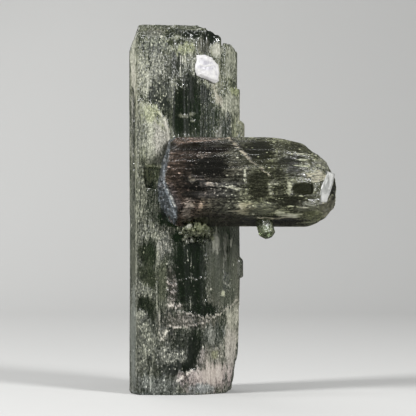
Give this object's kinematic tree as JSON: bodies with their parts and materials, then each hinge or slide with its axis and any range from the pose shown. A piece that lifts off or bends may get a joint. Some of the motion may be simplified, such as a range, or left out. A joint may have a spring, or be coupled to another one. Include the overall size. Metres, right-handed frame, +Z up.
{
  "type": "elbaite crystal cluster",
  "caption": "Upright striated elbaite tourmaline prism with a shorter prism grown across its front, a white albite chip and a pale blade at the tip.",
  "frame": {"origin": "middle of the flat broken foot that the upright crystal stands on", "axes": "+Z up along the upright crystal, +X along the crossing crystal to its rounded tip, the front of the cluster faces -Y"},
  "size_m": [0.0426, 0.027, 0.076],
  "materials": {
    "elbaite": "satin",
    "albite": "satin",
    "blade": "gloss"
  },
  "bodies": {
    "root": {"elbaite_crystals": "elbaite", "albite_chip": "albite", "tip_blade": "blade"}
  },
  "joints": []
}
